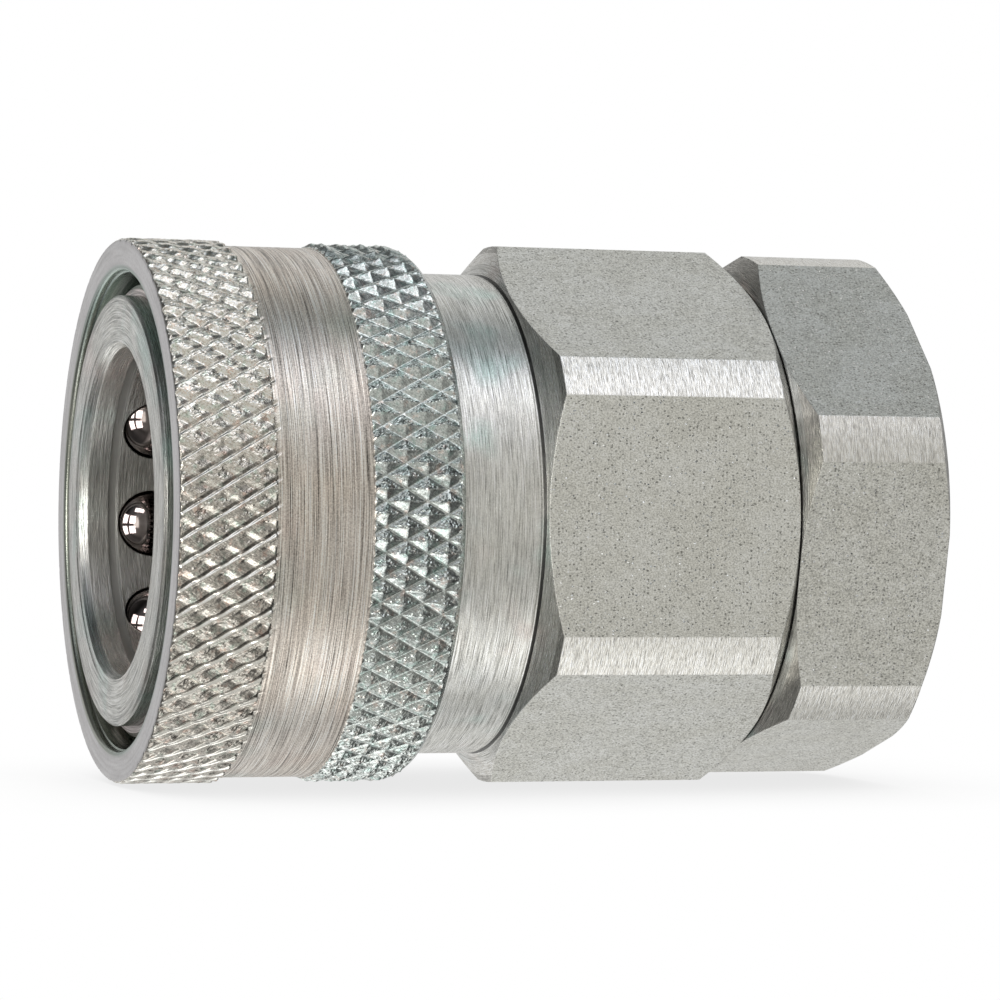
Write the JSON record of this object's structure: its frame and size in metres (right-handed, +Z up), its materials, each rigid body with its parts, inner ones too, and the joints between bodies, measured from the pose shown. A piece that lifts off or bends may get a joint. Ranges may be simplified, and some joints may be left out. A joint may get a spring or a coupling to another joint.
{
  "type": "quick disconnect coupler",
  "caption": "Quick disconnect coupler socket: knurled sliding sleeve over a ring of locking balls, spring-closed poppet valve, two hexagons and a tapped rear port.",
  "frame": {"origin": "on the coupler's axis at the rear adapter's end face, where the tapped port opens", "axes": "+X along the coupler's axis out of the rear port, so the socket mouth faces -X; -Y is the normal of one flat of the large hexagon; +Z is up"},
  "size_m": [0.0578, 0.0396, 0.0398],
  "materials": {
    "turned_zinc_steel": "turned and drawn bar, bright zinc plated, faint blue-green and pink tint",
    "knurled_zinc_steel": "turned and diamond knurled, bright zinc plated",
    "ring_steel": "zinc plated, slightly pink",
    "spring_steel": "drawn stainless wire",
    "valve_steel": "fine turned",
    "ball_steel": "polished bearing steel",
    "seal_rubber": "matte black nitrile",
    "white_ptfe": "satin"
  },
  "bodies": {
    "coupler_body": {"socket_body": "turned_zinc_steel", "rear_adapter": "turned_zinc_steel", "sleeve_retaining_ring": "ring_steel", "sleeve_spring": "spring_steel", "valve_spring": "spring_steel", "valve_guide": "valve_steel", "socket_o_ring": "seal_rubber", "backup_ring": "white_ptfe", "adapter_o_ring": "seal_rubber"},
    "sleeve_carriage": {"sleeve_spring_washer": "ring_steel"},
    "sleeve": {"locking_sleeve": "knurled_zinc_steel"},
    "poppet": {"poppet_valve": "valve_steel", "poppet_seal": "seal_rubber"},
    "ball_01": {"locking_ball_01": "ball_steel"},
    "ball_02": {"locking_ball_02": "ball_steel"},
    "ball_03": {"locking_ball_03": "ball_steel"},
    "ball_04": {"locking_ball_04": "ball_steel"},
    "ball_05": {"locking_ball_05": "ball_steel"},
    "ball_06": {"locking_ball_06": "ball_steel"},
    "ball_07": {"locking_ball_07": "ball_steel"},
    "ball_08": {"locking_ball_08": "ball_steel"},
    "ball_09": {"locking_ball_09": "ball_steel"},
    "ball_10": {"locking_ball_10": "ball_steel"}
  },
  "joints": [
    {"name": "sleeve_slide", "type": "slide", "parent": "coupler_body", "child": "sleeve_carriage", "axis": [1, 0, 0], "range_m": [0, 0.006], "stiffness_N_per_m": 500, "springref_m": -0.014, "deforming": ["sleeve_spring"]},
    {"name": "sleeve_turn", "type": "hinge", "parent": "sleeve_carriage", "child": "sleeve", "pos_m": [-0.04775, 0, 0], "axis": [1, 0, 0], "continuous": true},
    {"name": "poppet_slide", "type": "slide", "parent": "coupler_body", "child": "poppet", "axis": [1, 0, 0], "range_m": [0, 0.0045], "stiffness_N_per_m": 3000, "springref_m": -0.005, "deforming": ["valve_spring"]},
    {"name": "ball_01_slide", "type": "slide", "parent": "coupler_body", "child": "ball_01", "axis": [0, 0.9965, -0.0837], "range_m": [0, 0.00142]},
    {"name": "ball_02_slide", "type": "slide", "parent": "coupler_body", "child": "ball_02", "axis": [0, 0.757, -0.6534], "range_m": [0, 0.00142]},
    {"name": "ball_03_slide", "type": "slide", "parent": "coupler_body", "child": "ball_03", "axis": [0, 0.2284, -0.9736], "range_m": [0, 0.00142]},
    {"name": "ball_04_slide", "type": "slide", "parent": "coupler_body", "child": "ball_04", "axis": [0, -0.3875, -0.9219], "range_m": [0, 0.00142]},
    {"name": "ball_05_slide", "type": "slide", "parent": "coupler_body", "child": "ball_05", "axis": [0, -0.8554, -0.518], "range_m": [0, 0.00142]},
    {"name": "ball_06_slide", "type": "slide", "parent": "coupler_body", "child": "ball_06", "axis": [0, -0.9965, 0.0837], "range_m": [0, 0.00142]},
    {"name": "ball_07_slide", "type": "slide", "parent": "coupler_body", "child": "ball_07", "axis": [0, -0.757, 0.6534], "range_m": [0, 0.00142]},
    {"name": "ball_08_slide", "type": "slide", "parent": "coupler_body", "child": "ball_08", "axis": [0, -0.2284, 0.9736], "range_m": [0, 0.00142]},
    {"name": "ball_09_slide", "type": "slide", "parent": "coupler_body", "child": "ball_09", "axis": [0, 0.3875, 0.9219], "range_m": [0, 0.00142]},
    {"name": "ball_10_slide", "type": "slide", "parent": "coupler_body", "child": "ball_10", "axis": [0, 0.8554, 0.518], "range_m": [0, 0.00142]}
  ],
  "couplings": [
    {"joint": "ball_01_slide", "follows": "sleeve_slide", "ratio": 0.235},
    {"joint": "ball_02_slide", "follows": "sleeve_slide", "ratio": 0.235},
    {"joint": "ball_03_slide", "follows": "sleeve_slide", "ratio": 0.235},
    {"joint": "ball_04_slide", "follows": "sleeve_slide", "ratio": 0.235},
    {"joint": "ball_05_slide", "follows": "sleeve_slide", "ratio": 0.235},
    {"joint": "ball_06_slide", "follows": "sleeve_slide", "ratio": 0.235},
    {"joint": "ball_07_slide", "follows": "sleeve_slide", "ratio": 0.235},
    {"joint": "ball_08_slide", "follows": "sleeve_slide", "ratio": 0.235},
    {"joint": "ball_09_slide", "follows": "sleeve_slide", "ratio": 0.235},
    {"joint": "ball_10_slide", "follows": "sleeve_slide", "ratio": 0.235}
  ]
}
